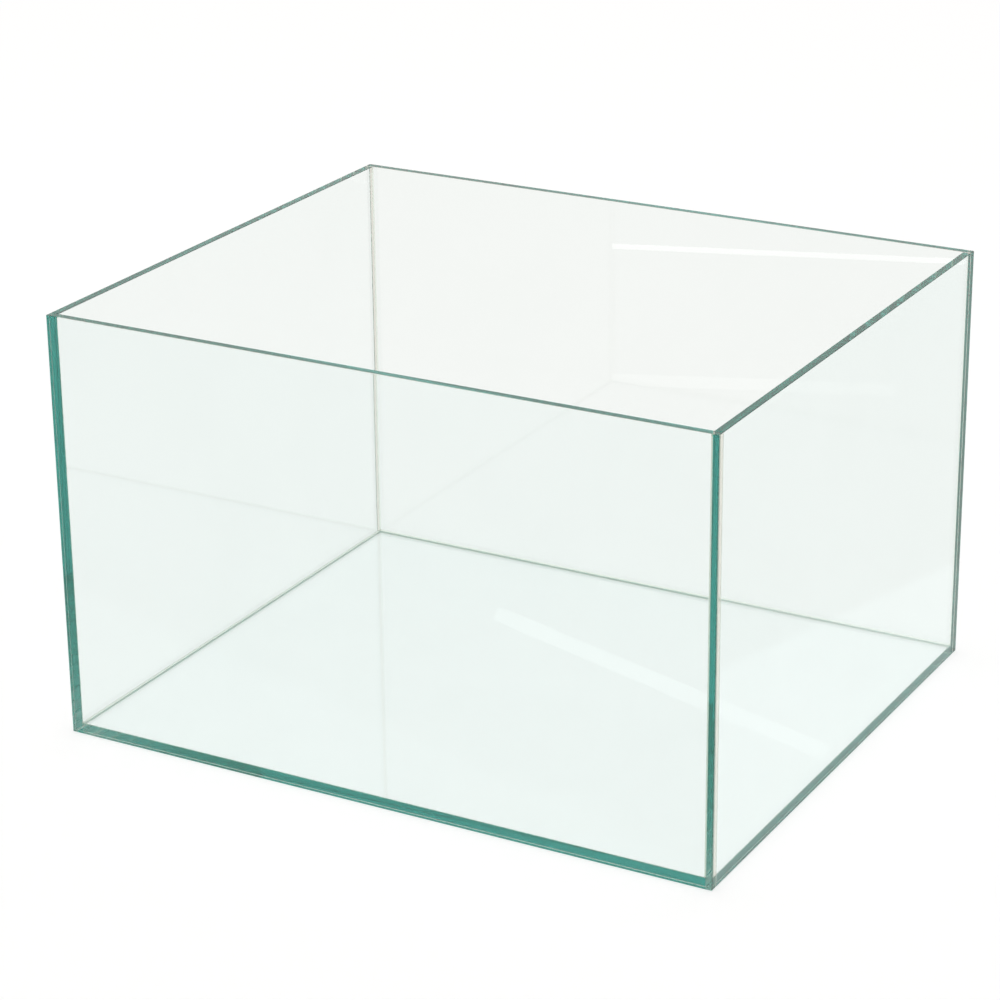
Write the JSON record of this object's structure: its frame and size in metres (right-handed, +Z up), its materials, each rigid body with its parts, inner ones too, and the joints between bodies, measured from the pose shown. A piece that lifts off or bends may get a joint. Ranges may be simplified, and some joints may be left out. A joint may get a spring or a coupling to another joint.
{
  "type": "glass aquarium",
  "caption": "Open-top rimless glass tank: upright glass walls around an inset glass floor, bonded edge to face with clear silicone; holds water, fish and plants.",
  "frame": {"origin": "middle of the underside, on the surface that the tank stands on", "axes": "+X along the long side, to the right seen from the front; +Y from the front pane to the back pane; +Z up, out of the open top"},
  "size_m": [0.5, 0.42, 0.31],
  "materials": {
    "glass": "clear float glass with a green tint along its polished edges",
    "sealant": "clear silicone, tooled smooth, faintly cream"
  },
  "bodies": {
    "root": {"front_pane": "glass", "back_pane": "glass", "left_pane": "glass", "right_pane": "glass", "base_pane": "glass", "seam_base_front": "sealant", "seam_base_back": "sealant", "seam_base_left": "sealant", "seam_base_right": "sealant", "seam_front_left": "sealant", "seam_front_right": "sealant", "seam_back_left": "sealant", "seam_back_right": "sealant"}
  },
  "joints": []
}
